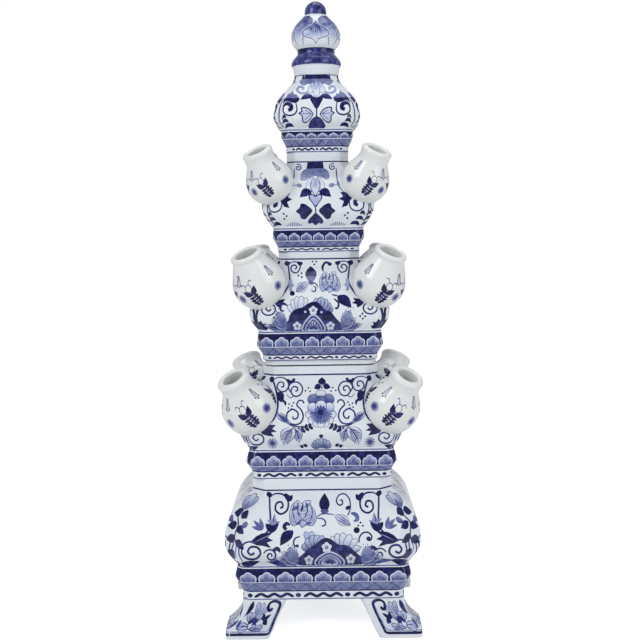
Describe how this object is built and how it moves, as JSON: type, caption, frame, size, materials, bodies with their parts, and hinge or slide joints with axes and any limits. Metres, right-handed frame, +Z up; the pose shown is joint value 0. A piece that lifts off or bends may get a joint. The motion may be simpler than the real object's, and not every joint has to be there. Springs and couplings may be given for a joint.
{
  "type": "tulipiere",
  "caption": "Four-sided ceramic flower tower in stacked tiers with canted corners, jar-shaped corner spouts for single stems, bracket feet and a lift-off upper section.",
  "frame": {"origin": "middle of the footprint, on the surface that the feet stand on", "axes": "+Z up the tower, -Y out of the front face, +X to the right seen from the front"},
  "size_m": [0.1398, 0.1398, 0.4405],
  "materials": {
    "painted_glaze": "glossy white glaze with blue painted bands and flowers",
    "glazed_spout": "glossy white glaze with a small blue sprig",
    "painted_finial": "glossy glaze, white and cobalt blue"
  },
  "bodies": {
    "lower_section": {"base_bowl": "painted_glaze", "foot_front_left": "painted_glaze", "foot_front_right": "painted_glaze", "foot_rear_right": "painted_glaze", "foot_rear_left": "painted_glaze", "lower_tier": "painted_glaze", "lower_spout_front_left": "glazed_spout", "lower_spout_front_right": "glazed_spout", "lower_spout_rear_right": "glazed_spout", "lower_spout_rear_left": "glazed_spout"},
    "upper_section": {"middle_tier": "painted_glaze", "middle_spout_front_left": "glazed_spout", "middle_spout_front_right": "glazed_spout", "middle_spout_rear_right": "glazed_spout", "middle_spout_rear_left": "glazed_spout", "upper_tier": "painted_glaze", "upper_spout_front_left": "glazed_spout", "upper_spout_front_right": "glazed_spout", "upper_spout_rear_right": "glazed_spout", "upper_spout_rear_left": "glazed_spout", "crown_vase": "painted_glaze", "finial": "painted_finial"}
  },
  "joints": [
    {"name": "upper_section_lift", "type": "slide", "parent": "lower_section", "child": "upper_section", "axis": [0, 0, 1], "range_m": [0, 0.12]}
  ]
}
